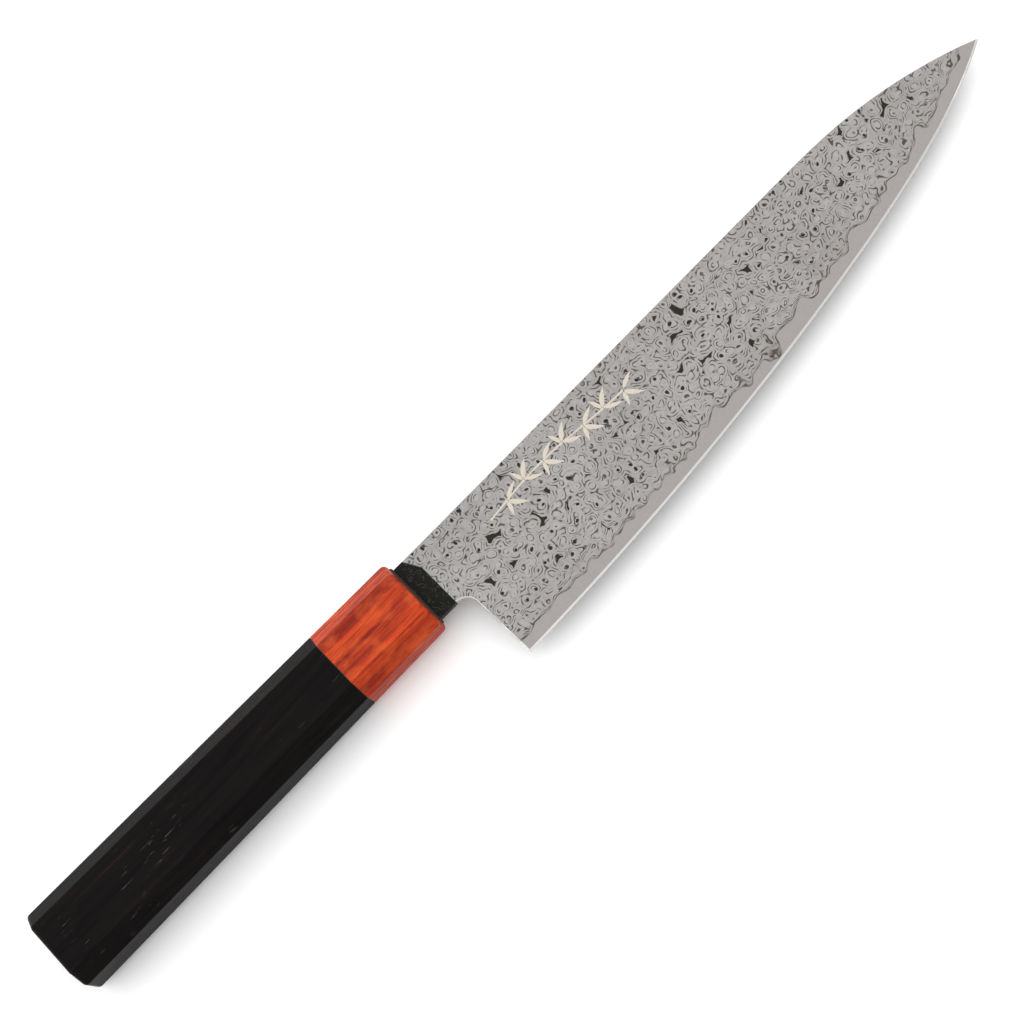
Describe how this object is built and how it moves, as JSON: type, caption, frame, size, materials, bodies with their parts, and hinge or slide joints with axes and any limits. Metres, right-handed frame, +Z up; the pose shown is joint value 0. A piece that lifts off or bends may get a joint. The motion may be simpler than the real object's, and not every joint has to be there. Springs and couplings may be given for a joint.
{
  "type": "chef knife",
  "caption": "Chef knife with a layered steel blade, dark unground neck, octagonal wooden handle and a contrasting wooden ferrule.",
  "frame": {"origin": "middle of the flat on the left side of the handle, on which the knife lies", "axes": "+X along the handle toward the tip of the blade, +Y toward the spine, +Z up, out of the right side of the knife"},
  "size_m": [0.3629, 0.0485, 0.0198],
  "materials": {
    "core_steel": "fine satin, bright on the secondary bevel",
    "layered_steel": "etched layers, pale with dark contour lines; black forge skin on the neck",
    "red_wood": "fine sanded, oiled",
    "black_wood": "fine sanded, waxed, satin",
    "pale_wood": "turned, raw",
    "dark_glue": "dull",
    "resin": "cured resin"
  },
  "bodies": {
    "root": {"blade_core": "core_steel", "blade_cladding_right": "layered_steel", "blade_cladding_left": "layered_steel", "ferrule": "red_wood", "handle_body": "black_wood", "ferrule_glue_line": "dark_glue", "dowel": "pale_wood", "tang_glue": "resin", "neck_seal": "dark_glue"}
  },
  "joints": []
}
